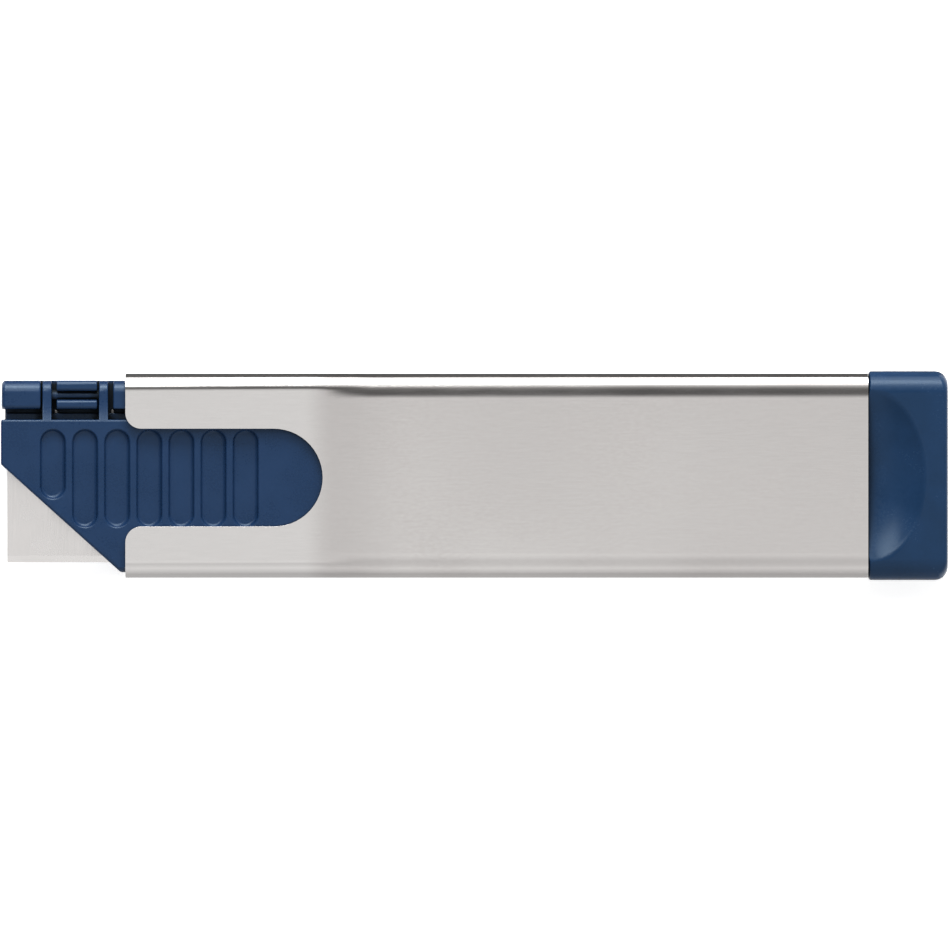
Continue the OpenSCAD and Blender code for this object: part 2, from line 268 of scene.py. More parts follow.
def rounded(*corners):
    """Closed outline through corners (x, y, radius), each turned with an arc of its radius."""
    points = []
    for i, (x, y, radius) in enumerate(corners):
        here = np.array((x, y), float)
        if radius == 0:
            points.append(here)
            continue
        to_last = unit(np.array(corners[i - 1][:2]) - here)
        to_next = unit(np.array(corners[(i + 1) % len(corners)][:2]) - here)
        half_angle = math.acos(np.clip(to_last @ to_next, -1, 1)) / 2
        centre = here + unit(to_last + to_next) * radius / math.sin(half_angle)
        start = here + to_last * radius / math.tan(half_angle) - centre
        end = here + to_next * radius / math.tan(half_angle) - centre
        turn = math.atan2(start[0] * end[1] - start[1] * end[0], start @ end)
        steps = max(2, math.ceil(abs(turn) / ARC_STEP))
        for k in range(steps + 1):
            c, s = math.cos(turn * k / steps), math.sin(turn * k / steps)
            points.append(centre + (c * start[0] - s * start[1], s * start[0] + c * start[1]))
    return without_repeats(np.array(points))


def without_repeats(loop):
    """The closed loop without points that fall on the one before."""
    apart = np.linalg.norm(loop - np.roll(loop, 1, 0), axis=1) > 1e-6
    return loop[apart]


def stadium(x, low_y, high_y, half_w):
    """Upright outline with half-round ends."""
    return rounded(
        (x - half_w, low_y, half_w), (x + half_w, low_y, half_w),
        (x + half_w, high_y, half_w), (x - half_w, high_y, half_w),
    )


def circle(x, y, radius, steps):
    """Counterclockwise points round a circle."""
    turns = np.arange(steps) * 2 * math.pi / steps
    return np.stack((x + radius * np.cos(turns), y + radius * np.sin(turns)), 1)


def with_points_at(loop, heights):
    """The closed loop with more points, where its sides cross the given second coordinates."""
    points = []
    for here, there in zip(loop, np.roll(loop, -1, 0)):
        points.append(here)
        rise = there[1] - here[1]
        shares = [(h - here[1]) / rise for h in heights if abs(rise) > 1e-9]
        points += [here + (there - here) * s for s in sorted(shares) if 1e-6 < s < 1 - 1e-6]
    return np.array(points)


def outward(loop):
    """Moving each point of a counterclockwise loop by d times this vector widens the loop by d."""
    before = loop - np.roll(loop, 1, 0)
    after = np.roll(loop, -1, 0) - loop
    n1 = np.stack((before[:, 1], -before[:, 0]), 1) / np.linalg.norm(before, axis=1)[:, None]
    n2 = np.stack((after[:, 1], -after[:, 0]), 1) / np.linalg.norm(after, axis=1)[:, None]
    return (n1 + n2) / (1 + (n1 * n2).sum(1))[:, None]


# ---- Solids ----

class Solid:
    """A closed surface as a list of points and a list of faces."""

    def __init__(self):
        self.points = []
        self.faces = []

    def ring(self, loop, height):
        """Adds a closed ring of points and returns their numbers."""
        heights = np.broadcast_to(height, len(loop))
        first = len(self.points)
        self.points += [(x, y, z) for (x, y), z in zip(loop, heights)]
        return np.arange(first, first + len(loop))

    def bridge(self, a, b):
        """Joins two rings with quads that face outwards when b lies above a."""
        a_next, b_next = np.roll(a, -1), np.roll(b, -1)
        self.faces += [list(quad) for quad in zip(a, a_next, b_next, b)]

    def stack(self, rings):
        """Joins each ring to the next."""
        for a, b in zip(rings, rings[1:]):
            self.bridge(a, b)

    def fill(self, rings, up, creases=(), inner=()):
        """Fills the flat face between an outer ring and any inner rings."""
        numbers = [n for r in rings for n in r]
        edges, first = [], 0
        for r in rings:
            edges += [(first + i, first + (i + 1) % len(r)) for i in range(len(r))]
            first += len(r)
        flat = [Vector(self.points[n][:2]) for n in numbers]
        height = self.points[rings[0][0]][2]
        for point in inner:
            numbers.append(len(self.points))
            self.points.append((*point, height))
            flat.append(Vector(point))
        for ends in creases:
            edges.append((len(flat), len(flat) + 1))
            flat += [Vector(p) for p in ends]
        _, _, faces, sources, _, _ = delaunay_2d_cdt(flat, edges, [], 4, 1e-7)
        holes = [set(r) for r in rings[1:]]
        for face in faces:
            corners = [numbers[min(sources[i])] for i in face]
            if not any(hole.issuperset(corners) for hole in holes):
                self.faces.append(corners if up else corners[::-1])

    def placed(self, place):
        """The solid with its points moved by a function of an array of points."""
        self.points = [tuple(p) for p in place(np.array(self.points, float))]
        return self


def rim(solid, loop, face, radius, side):
    """Rings of a rounded edge, from the wall to a face at height face; side is 1 for an upper face."""
    if not callable(radius) and radius == 0:
        return [solid.ring(loop, face)]
    out = outward(loop)
    radii = radius(loop, out) if callable(radius) else np.full(len(loop), float(radius))
    rings = []
    for turn in QUARTER:
        inset = radii * (1 - math.cos(turn))
        drop = radii * (1 - math.sin(turn))
        rings.append(solid.ring(loop - out * inset[:, None], face - side * drop))
    return rings


def pocket(solid, loop, face, depth, rim_r, floor_r, side):
    """Cuts a flat-floored pocket into a face and returns the ring at its mouth."""
    out = outward(loop)
    rings = []
    for turn in QUARTER:
        drop = rim_r * (1 - math.cos(turn))
        rings.append(solid.ring(loop + out * rim_r * (1 - math.sin(turn)), face - side * drop))
    for turn in QUARTER:
        drop = depth - floor_r * (1 - math.sin(turn))
        rings.append(solid.ring(loop - out * floor_r * (1 - math.cos(turn)), face - side * drop))
    solid.stack(rings if side > 0 else rings[::-1])
    solid.fill([rings[-1]], up=side > 0)
    return rings[0]


def plate(outline, low, high, low_edge, high_edge, high_pockets=(), low_pockets=(), holes=(),
          creases=(), high_inner=(), low_inner=()):
    """Upright solid with rounded edges. A pocket is (outline, depth, rim radius, floor radius)."""
    solid = Solid()
    low_rim = rim(solid, outline, low, low_edge, -1)
    high_rim = rim(solid, outline, high, high_edge, 1)
    solid.stack(low_rim[::-1] + high_rim)
    high_rings, low_rings = [high_rim[-1]], [low_rim[-1]]
    for loop in holes:
        up, down = hole_rims(solid, loop, low, high, high_edge)
        high_rings.append(up)
        low_rings.append(down)
    high_rings += [pocket(solid, *p[:1], high, *p[1:], 1) for p in high_pockets]
    low_rings += [pocket(solid, *p[:1], low, *p[1:], -1) for p in low_pockets]
    solid.fill(high_rings, True, creases, high_inner)
    solid.fill(low_rings, False, creases, low_inner)
    return solid


def hole_rims(solid, loop, low, high, radius):
    """Walls and rounded rims of a through hole; returns the rings in the high and the low face."""
    out = outward(loop)
    rings = []
    for face, side, turns in ((high, 1, QUARTER), (low, -1, QUARTER[::-1])):
        for turn in turns:
            drop = radius * (1 - math.cos(turn))
            rings.append(solid.ring(loop + out * radius * (1 - math.sin(turn)), face - side * drop))
    solid.stack(rings)
    return rings[0], rings[-1]


def lathe(profile, place, steps=40):
    """Solid of revolution from (radius, height) pairs, which start and end on the axis."""
    solid = Solid()
    rings = [solid.ring(circle(0, 0, radius, steps), height) for radius, height in profile[1:-1]]
    solid.stack(rings)
    for ring, (_, height), up in ((rings[0], profile[0], False), (rings[-1], profile[-1], True)):
        pole = len(solid.points)
        solid.points.append((0, 0, height))
        for a, b in zip(ring, np.roll(ring, -1)):
            solid.faces.append([a, b, pole] if up else [b, a, pole])
    return solid.placed(place)


def soft_rod(radius, low, high, edge):
    """Profile of a rod with rounded ends, for lathe()."""
    start = [(radius - edge * (1 - math.sin(t)), low + edge * (1 - math.cos(t))) for t in QUARTER]
    end = [(radius - edge * (1 - math.cos(t)), high - edge * (1 - math.sin(t))) for t in QUARTER]
    return [(0, low)] + start + end + [(0, high)]


def along_x(points):
    """Turns a solid drawn in (y, z, x) into place."""
    return points[:, [2, 0, 1]]


# Each of these returns the place of a rod drawn along Z: its axis goes through the two coordinates given

def rod_along_x(y, z):
    return lambda p: np.stack((p[:, 2], p[:, 0] + y, p[:, 1] + z), 1)


def rod_along_y(x, z):
    return lambda p: np.stack((p[:, 1] + x, p[:, 2], p[:, 0] + z), 1)


def rod_along_z(x, y):
    return lambda p: p + (x, y, 0)


def solid_object(solid):
    """A Blender object of the solid, for a boolean step."""
    mesh = bpy.data.meshes.new("solid")
    mesh.from_pydata(solid.points, [], solid.faces)
    made = bpy.data.objects.new("solid", mesh)
    bpy.context.scene.collection.objects.link(made)
    return made


def fused(solids, cuts):
    """One mesh of all the solids together, less the cuts."""
    first, *others = [solid_object(solid) for solid in solids]
    steps = [(other, "UNION") for other in others]
    steps += [(solid_object(cut), "DIFFERENCE") for cut in cuts]
    for operand, operation in steps:
        step = first.modifiers.new("step", "BOOLEAN")
        step.operation = operation
        step.solver = "MANIFOLD"
        step.object = operand
    mesh = bpy.data.meshes.new_from_object(first.evaluated_get(bpy.context.evaluated_depsgraph_get()))
    for used in [first] + [operand for operand, _ in steps]:
        bpy.data.objects.remove(used)
    return mesh


def piece(name, solids, material, body, replaced, cuts=(), sharp_angle=SHARP_ANGLE):
    """Makes one Blender object of solids less cuts, and ties it to the CAD model."""
    mesh = fused(solids, cuts)
    mesh.name = name
    mesh.transform(Matrix.Scale(MM, 4))
    tidy = bmesh.new()
    tidy.from_mesh(mesh)
    bmesh.ops.remove_doubles(tidy, verts=tidy.verts[:], dist=2e-7)
    bmesh.ops.dissolve_degenerate(tidy, dist=1e-7, edges=tidy.edges[:])
    tidy.to_mesh(mesh)
    tidy.free()
    mesh.shade_smooth()
    mesh.set_sharp_from_angle(angle=sharp_angle)
    made = bpy.data.objects.new(name, mesh)
    bpy.context.scene.collection.objects.link(made)
    normals = made.modifiers.new("weighted_normals", "WEIGHTED_NORMAL")
    normals.mode = "FACE_AREA"
    normals.keep_sharp = True
    mesh.materials.clear()
    mesh.materials.append(material)
    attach(made, body)
    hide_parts(replaced)
    return made


# ---- Sleeve ----

SLEEVE_HALF_W = (SLEEVE_HIGH[1] - SLEEVE_LOW[1]) / 2
SLEEVE_HALF_T = (SLEEVE_HIGH[2] - SLEEVE_LOW[2]) / 2
FLAT_W = 2 * (SLEEVE_HALF_W - BEND_R - CROWN_W)
FLAT_T = 2 * (SLEEVE_HALF_T - BEND_R)
BEND_L = BEND_R * math.pi / 2


def section_stretches(crown=0.0):
    """The way round the section from the seam, as (length in the blank, length once bent, turn)."""
    fall = CROWN_W * np.tan(crown / 2)
    side = SLEEVE_HALF_T - fall - BEND_R * np.cos(crown)
    face = 2 * (SLEEVE_HALF_W - CROWN_W - BEND_R * (1 - np.sin(crown)))
    bend = (BEND_L, BEND_R * (math.pi / 2 - crown), math.pi / 2 - crown)
    slope = (CROWN_W, CROWN_W / np.cos(crown / 2), crown)
    half = [(FLAT_T / 2, side, 0), bend, slope, (FLAT_W, face, 0), slope, bend, (FLAT_T / 2, side, 0)]
    return half + half


GIRTH = sum(blank for blank, _, _ in section_stretches())


def round_sleeve(points):
    """Bends the blank: x stays, y is the way round from the seam, and z is the height in the sheet."""
    x, way, depth = points[:, 0], points[:, 1], SHEET_T - points[:, 2]
    share = np.clip((x - MOUTH_X - CROWN_X[0]) / (CROWN_X[-1] - CROWN_X[0]), 0, 1)
    share = share * share * (3 - 2 * share)
    stretches = section_stretches(CROWN_TURN * share)
    corner = np.tile((-SLEEVE_HALF_W, 0.0), (len(x), 1))
    heading = np.full(len(x), math.pi / 2)
    section = np.zeros((len(x), 2))
    start = 0
    for blank, length, turn in stretches:
        done = np.clip((way - start) / blank, 0, 1)
        here = (way >= start - 1e-9) & (way <= start + blank + 1e-9)
        move = (length * done * np.sinc(turn * done / 2 / math.pi))[:, None]
        middle = heading - turn * done / 2
        place = corner + move * np.stack((np.cos(middle), np.sin(middle)), 1)
        faced = heading - turn * done
        place -= depth[:, None] * np.stack((-np.sin(faced), np.cos(faced)), 1)
        section[here] = place[here]
        whole = (length * np.sinc(turn / 2 / math.pi) * np.ones(len(x)))[:, None]
        corner = corner + whole * np.stack((np.cos(heading - turn / 2), np.sin(heading - turn / 2)), 1)
        heading = heading - turn
        start += blank
    return np.stack((x, section[:, 0], section[:, 1] + MID_Z), 1)


def bend_lines():
    """Distances round the blank at which the sheet is bent a little."""
    lines, start = [], 0
    for blank, _, _ in section_stretches():
        steps = {BEND_L: BEND_STEPS, CROWN_W: CROWN_STEPS}.get(blank, 0)
        lines += [start + blank * k / steps for k in range(steps + 1) if steps]
        start += blank
    return sorted(set(round(line, 6) for line in lines))


def sleeve_solid():
    """The sleeve: a blank with its thumb slots and button slot, bent round the section."""
    x0, x1 = MOUTH_X, SLEEVE_HIGH[0]
    slot_x = x0 + SLOT_L
    slot_middle = GIRTH / 4 + SLOT_Y      # the way round to the middle of the upper face is GIRTH / 4
    low, high = slot_middle - SLOT_HALF_W, slot_middle + SLOT_HALF_W
    corner_r = SHEET_EDGE_R * 1.5
    seam = SEAM_GAP / 2
    blank = rounded(
        (x0, seam, corner_r), (x1, seam, corner_r),
        (x1, GIRTH - seam, corner_r), (x0, GIRTH - seam, corner_r),
        (x0, GIRTH - low, SLOT_MOUTH_R), (slot_x, GIRTH - low, SLOT_HALF_W),
        (slot_x, GIRTH - high, SLOT_HALF_W), (x0, GIRTH - high, SLOT_MOUTH_R),
        (x0, high, SLOT_MOUTH_R), (slot_x, high, SLOT_HALF_W),
        (slot_x, low, SLOT_HALF_W), (x0, low, SLOT_MOUTH_R),
    )
    r = BUTTON_SLOT_R
    button_x0, button_x1 = BUTTON_X - r, BUTTON_X + travel_mm("blade_slide") + r
    button_slot = rounded(
        (button_x0, GIRTH / 2 - r, r), (button_x1, GIRTH / 2 - r, r),
        (button_x1, GIRTH / 2 + r, r), (button_x0, GIRTH / 2 + r, r),
    )
    stops = [x0 + x for x in CROWN_X]
    marks = [(x, way) for x in stops for way in bend_lines()]
    stops = [x0 + SHEET_EDGE_R] + stops + [x1 - SHEET_EDGE_R]
    creases = [((a, way), (b, way)) for way in bend_lines() for a, b in zip(stops, stops[1:])]
    sheet = plate(with_points_at(blank, bend_lines()), 0, SHEET_T, SHEET_EDGE_R, SHEET_EDGE_R,
                  holes=[button_slot], creases=creases, high_inner=marks, low_inner=marks)
    return sheet.placed(round_sleeve)


# ---- Blade holder ----

def long_edge(spine_r, nose_r):
    """Edge radius: nose_r round the holder's nose, growing to spine_r along its spine."""
    def radius(loop, out):
        grown = np.clip((loop[:, 0] - (NOSE_X + KNUCKLE_X + 1)) / EDGE_GROWTH_L, 0, 1)
        wide = nose_r + (spine_r - nose_r) * grown * np.clip((out[:, 1] - 0.85) / 0.15, 0, 1)
        by_notch = np.abs(loop[:, 1] - (PLATE_TOP_Y + KNUCKLE_LOW_Y) / 2) < 1
        return np.where(by_notch & (loop[:, 0] < NOSE_X + 1), NOTCH_EDGE_R, wide)
    return radius


def grooves():
    """The pockets that give the thumb its hold, the first one shorter than the rest."""
    made = []
    for i in range(GROOVE_N):
        low_y = GROOVE_FIRST_LOW_Y if i == 0 else GROOVE_LOW_Y
        outline = stadium(NOSE_X + GROOVE_X + i * GROOVE_PITCH, low_y, GROOVE_TOP_Y, GROOVE_HALF_W)
        made.append((outline, GROOVE_DEPTH, GROOVE_RIM_R, GROOVE_FLOOR_R))
    return made


def knuckle_ends(i):
    """Start and end along X of hinge knuckle i."""
    arm_before, arm_after = ARM_X + (i - 1) * ARM_PITCH, ARM_X + i * ARM_PITCH
    start = KNUCKLE_X if i == 0 else arm_before + ARM_HALF_W + ARM_GAP_REAR
    end = LAST_KNUCKLE_END_X if i == ARM_N else arm_after - ARM_HALF_W - ARM_GAP_FRONT
    return NOSE_X + start, NOSE_X + end


def open_knuckle(x0, x1):
    """C-shaped knuckle that the hinge bar snaps into."""
    y0, y1, z0, z1 = KNUCKLE_LOW_Y, BACK_HIGH[1], SPLIT_Z - BLOCK_ROOT, BACK_HIGH[2]
    mouth_turn = math.acos(CLIP_MOUTH_HALF / HINGE_BORE_R)
    turns = np.linspace(mouth_turn, -math.pi - mouth_turn, CLIP_BORE_STEPS)
    bore = [(HINGE_Y + HINGE_BORE_R * math.cos(t), HINGE_Z + HINGE_BORE_R * math.sin(t), 0) for t in turns]
    section = rounded(
        (y0, z0, 0), (y1, z0, 0), (y1, z1, CLIP_SPINE_R), (HINGE_Y + CLIP_MOUTH_HALF, z1, CLIP_TIP_R), *bore,
        (HINGE_Y - CLIP_MOUTH_HALF, z1, CLIP_LOW_R), (y0, z1, CLIP_LOW_R),
    )
    return plate(section, x0, x1, CLIP_EDGE_R, CLIP_EDGE_R).placed(along_x)


def block(x0, x1, spine_r, start_r, end_r):
    """Solid part of the back half that stands on its slab, from the knuckles' low side to the spine."""
    y0, y1, z0, z1 = KNUCKLE_LOW_Y, BACK_HIGH[1], SPLIT_Z - BLOCK_ROOT, BACK_HIGH[2]
    inner_r = 1.05 * max(start_r, end_r)      # so that the ends' edges fit inside the section's corner
    section = rounded((y0, z0, 0), (y1, z0, 0), (y1, z1, spine_r), (y0, z1, inner_r))
    return plate(section, x0, x1, start_r, end_r).placed(along_x)


def holder_back_solids():
    """The back half: a slab with grooves below, and the hinge knuckles and rear block that stand on it."""
    x1, y0, y1 = BACK_HIGH[0], BACK_LOW[1], BACK_HIGH[1]
    notch_x, knuckle_x, tip_x = NOSE_X + NOTCH_X, NOSE_X + KNUCKLE_X, NOSE_X + TIP_X
    outline = rounded(
        (NOSE_X, NOSE_LOW_Y, BACK_NOSE_R), (tip_x, y0, TIP_R),
        (x1, y0, REAR_CORNER_R), (x1, y1, REAR_CORNER_R),
        (knuckle_x + 1 + EDGE_GROWTH_L, y1, 0), (knuckle_x, y1, KNUCKLE_CORNER_R),
        (knuckle_x, KNUCKLE_LOW_Y, NOTCH_MOUTH_R), (notch_x, KNUCKLE_LOW_Y, NOTCH_FLOOR_R),
        (notch_x, PLATE_TOP_Y, NOTCH_FLOOR_R), (NOSE_X, PLATE_TOP_Y, NOTCH_MOUTH_R),
    )
    solids = [plate(outline, BACK_LOW[2], SPLIT_Z, long_edge(LONG_EDGE_R, BACK_NOSE_EDGE_R), 0,
                    low_pockets=grooves())]
    for i in range(ARM_N + 1):
        start, end = knuckle_ends(i)
        start_r = KNUCKLE_START_R if i == 0 else KNUCKLE_END_R
        if i % 2:
            solids.append(open_knuckle(start, end))
        else:
            solids.append(block(start, end, KNUCKLE_SPINE_R, start_r, KNUCKLE_END_R))
    solids.append(block(end - 1, x1, LONG_EDGE_R, REAR_EDGE_R, REAR_EDGE_R))
    rear_x, rear_y = FRONT_HIGH[0] + HALVES_GAP, y1 - 2
    rear_corners = ((rear_x, y0), (x1, y0), (x1, rear_y), (rear_x, rear_y))
    rear = rounded(*[(*corner, REAR_EDGE_R) for corner in rear_corners])
    solids.append(plate(rear, SPLIT_Z - BLOCK_ROOT, BACK_HIGH[2], 0, REAR_TOP_EDGE_R))
    return solids


def blade_seat():
    """The hollow in the back half that the blade lies in, open at the cutting side of the nose."""
    x0, x1 = BLADE_LOW[0] - SEAT_PLAY, BLADE_HIGH[0] + SEAT_PLAY
    y0, y1 = BLADE_LOW[1] - SEAT_PLAY, BLADE_HIGH[1] + SEAT_PLAY
    outline = rounded((x0, y0, 0), (x1, y0, 0), (x1, y1, SEAT_CORNER_R), (x0, y1, SEAT_CORNER_R))
    return plate(outline, SEAT_Z, SPLIT_Z + 1, 0, 0)


def bend_reliefs():
    """Cuts that round the holder's long edges on the cutting side to fit inside the sleeve's bends."""
    wall_y = SLEEVE_LOW[1] + SHEET_T + BEND_PLAY
    face = SLEEVE_HALF_T - SHEET_T - BEND_PLAY
    r = BEND_R - SHEET_T
    turns = np.linspace(0, math.pi / 2, RELIEF_STEPS)
    bend = [(wall_y + r - r * math.sin(t), face - r + r * math.cos(t)) for t in turns]
    upper = np.array(bend + [(wall_y - 1, face - r), (wall_y - 1, face + 1), (wall_y + r, face + 1)])
    x0, x1 = NOSE_X + TIP_X - RELIEF_BEFORE_TIP, BACK_HIGH[0] + 1
    return [plate(section + (0, MID_Z), x0, x1, 0, 0).placed(along_x)
            for section in (upper[::-1], upper * (1, -1))]


def holder_front_solids():
    """The front half: a grooved plate, a lip over the blade, and the hinge arms with bars between them."""
    x0, x1, y0 = NOSE_X, FRONT_HIGH[0], BACK_LOW[1]
    z0, z1 = FRONT_LOW[2], FRONT_HIGH[2]
    outline = rounded(
        (x0, PLATE_TOP_Y, FRONT_CORNER_R), (x0, NOSE_LOW_Y, FRONT_NOSE_R), (x0 + TIP_X, y0, TIP_R),
        (x1, y0, FRONT_CORNER_R), (x1, PLATE_TOP_Y, FRONT_CORNER_R),
    )
    solids = [plate(outline, z0, z1, FRONT_SEAM_EDGE_R, PLATE_EDGE_R, high_pockets=grooves())]
    lip_x0, lip_x1 = x0 + NOTCH_X + LIP_START_GAP, x1 - LIP_END_GAP
    lip_y0, lip_y1 = PLATE_TOP_Y - LIP_OVERLAP, BLADE_HIGH[1] + LIP_TOP_GAP
    lip = rounded(
        (lip_x0, lip_y0, 0), (lip_x1, lip_y0, 0),
        (lip_x1, lip_y1, LIP_CORNER_R), (lip_x0, lip_y1, LIP_CORNER_R),
    )
    solids.append(plate(lip, z0 + LIP_INSET, z0 + LIP_T, LIP_LOW_EDGE_R, LIP_HIGH_EDGE_R))
    arm_y0, arm_y1 = PLATE_TOP_Y - ARM_ROOT, FRONT_HIGH[1]
    arm_z0, arm_z1 = z0 + ARM_LOW_INSET, z1 - ARM_HIGH_INSET
    arm = rounded(
        (arm_y0, arm_z0, 0), (arm_y1, arm_z0, ARM_LOW_R),
        (arm_y1, arm_z1, ARM_TIP_R), (arm_y0, arm_z1, 0),
    )
    middles = [x0 + ARM_X + i * ARM_PITCH for i in range(ARM_N)]
    for middle in middles:
        sides = (middle - ARM_HALF_W, middle + ARM_HALF_W)
        solids.append(plate(arm, *sides, ARM_EDGE_R, ARM_EDGE_R).placed(along_x))
    for middle in middles[::2]:
        start = middle + ARM_HALF_W - BAR_ROOT
        end = middle + ARM_PITCH - ARM_HALF_W + BAR_ROOT
        bar = [(0, start), (HINGE_BAR_R, start), (HINGE_BAR_R, end), (0, end)]
        solids.append(lathe(bar, rod_along_x(HINGE_Y, HINGE_Z)))
    return solids


def spine_pin_solids():
    """The pins behind the blade's back edge, one beside each hinge arm."""
    y = (PINS_LOW[1] + PINS_HIGH[1]) / 2
    radius = (PINS_HIGH[1] - PINS_LOW[1]) / 2
    profile = soft_rod(radius, PINS_LOW[2], PINS_HIGH[2] - PIN_SUNK, radius * PIN_EDGE_SHARE)
    first_x = PINS_LOW[0] + radius
    return [lathe(profile, rod_along_z(first_x + i * ARM_PITCH, y)) for i in range(ARM_N)]


def button_bore():
    """The hole in the back half that the button slides in, down to the foot of its spring."""
    floor = box_mm("button_spring")[0][1] - COIL_END_PLAY
    radius = BUTTON_FOOT_R + BUTTON_PLAY
    profile = [(0, floor), (radius, floor), (radius, BUTTON_HIGH[1] + 1), (0, BUTTON_HIGH[1] + 1)]
    return lathe(profile, rod_along_y(BUTTON_X, MID_Z))


def button_solid():
    """The button: a foot with a well for the spring, a shoulder below the sheet, and a domed tip."""
    foot, top = BUTTON_LOW[1], BUTTON_HIGH[1]
    shoulder = SLEEVE_HIGH[1] - SHEET_T - BUTTON_NECK_GAP
    well = (BUTTON_WELL_R, foot + BUTTON_WELL)
    dome_base = top - BUTTON_DOME
    turns = np.linspace(0, BUTTON_DOME_TURN, 8)
    profile = [(0, well[1]), well, (BUTTON_WELL_R, foot), (BUTTON_FOOT_R, foot)]
    profile += [(BUTTON_FOOT_R, shoulder - BUTTON_BEVEL), (BUTTON_FOOT_R - BUTTON_BEVEL, shoulder)]
    profile += [(BUTTON_TIP_R, shoulder)]
    profile += [(BUTTON_TIP_R * math.cos(t), dome_base + BUTTON_DOME * math.sin(t)) for t in turns]
    return lathe(profile + [(0, top)], rod_along_y(BUTTON_X, MID_Z))


def coil_solid():
    """The spring under the button: a round wire on a helix."""
    low, high = box_mm("button_spring")
    helix_r = (high[0] - low[0]) / 2 - COIL_WIRE_R
    wire_x, wire_y = circle(0, 0, COIL_WIRE_R, COIL_WIRE_SIDES)[::-1].T
    bottom, top = low[1] + COIL_WIRE_R, high[1] - COIL_WIRE_R
    solid = Solid()
    rings = []
    for share in np.linspace(0, 1, COIL_TURNS * COIL_STEPS + 1):
        way = 2 * math.pi * COIL_TURNS * share
        loop = (helix_r + wire_x)[:, None] * (math.cos(way), math.sin(way))
        rings.append(solid.ring(loop, bottom + (top - bottom) * share + wire_y))
    solid.stack(rings)
    solid.faces += [list(rings[0][::-1]), list(rings[-1])]
    return solid.placed(rod_along_y(BUTTON_X, MID_Z))


# ---- End cap ----

def cap_solid():
    """The cap: its section across the knife, drawn along X with rounded ends."""
    (x0, y0, z0), (x1, y1, z1) = CAP_LOW, CAP_HIGH
    section = rounded(*[(y, z, CAP_EDGE_R) for y, z in ((y0, z0), (y1, z0), (y1, z1), (y0, z1))])
    return plate(section, x0 + CAP_JOINT_GAP, x1, CAP_JOINT_R, cap_rear_edge).placed(along_x)


def cap_rear_edge(loop, out):
    """Edge radius round the cap's rear face: wide at its two narrow sides, small above and below."""
    return CAP_REAR_R + (CAP_CORNER_R - CAP_REAR_R) * np.clip(np.abs(out[:, 0]), 0, 1) ** 2


def finger_hollows():
    """A bowl with a soft lip above and one below the cap, which leave its two finger hollows."""
    rim_turn = math.acos(1 - HOLLOW_DEPTH / HOLLOW_BALL_R)
    bowl_turns = np.linspace(0, rim_turn * (1 - HOLLOW_LIP), HOLLOW_BOWL_STEPS)
    bowl = [(math.sin(t) / math.sin(rim_turn), HOLLOW_BALL_R * (1 - math.cos(t))) for t in bowl_turns]
    bends = np.array((bowl.pop(), (1, HOLLOW_DEPTH), (1 + HOLLOW_LIP, HOLLOW_DEPTH + HOLLOW_LIP_RISE)))
    shares = np.linspace(0, 1, HOLLOW_LIP_STEPS)
    lip = [tuple(np.array(((1 - t) ** 2, 2 * t * (1 - t), t * t)) @ bends) for t in shares]
    top = HOLLOW_DEPTH + 1
    upper = bowl + lip + [(1 + HOLLOW_LIP, top), (0, top)]
    lower = [(radius, -height) for radius, height in upper[::-1]]
    size = np.array((HOLLOW_HALF_L, HOLLOW_HALF_W, 1))
    floor = (CAP_HIGH[2] - CAP_LOW[2]) / 2 - HOLLOW_DEPTH
    return [lathe(profile, lambda p, z=z: p * size + (CAP_LOW[0], 0, z), HOLLOW_STEPS)
            for profile, z in ((upper, MID_Z + floor), (lower, MID_Z - floor))]


def cap_pins(play, edge):
    """The two pins that cross the cap, or with play the holes that they sit in."""
    low, high = box_mm("cap_pins")
    radius = (high[2] - low[2]) / 2 + play
    place = rod_along_y((low[0] + high[0]) / 2, MID_Z)
    past = play * HOLE_OVERRUN
    ends = ((CAP_PIN_INNER_Y, high[1] + past), (low[1] - past, -CAP_PIN_INNER_Y))
    return [lathe(soft_rod(radius, start, end, edge), place) for start, end in ends]


# ---- Materials ----

class Nodes:
    """The nodes of a material or of the surroundings."""

    def __init__(self, tree):
        self.nodes, self.links = tree.nodes, tree.links

    def node(self, kind, inputs=None, **settings):
        """A new node, with its settings, and with each input set to a value or linked to a socket."""
        made = self.nodes.new(kind)
        for name, value in settings.items():
            setattr(made, name, value)
        for name, value in (inputs or {}).items():
            if isinstance(value, bpy.types.NodeSocket):
                self.links.new(value, made.inputs[name])
            else:
                made.inputs[name].default_value = value
        return made

    def maths(self, operation, a, b=0):
        return self.node("ShaderNodeMath", {0: a, 1: b}, operation=operation).outputs[0]

    def spread(self, factor, low, high, start=0.3, end=0.7):
        """The factor between start and end, spread from low to high."""
        inputs = {"Value": factor, "From Min": start, "From Max": end, "To Min": low, "To Max": high}
        return self.node("ShaderNodeMapRange", inputs, interpolation_type="SMOOTHSTEP").outputs["Result"]


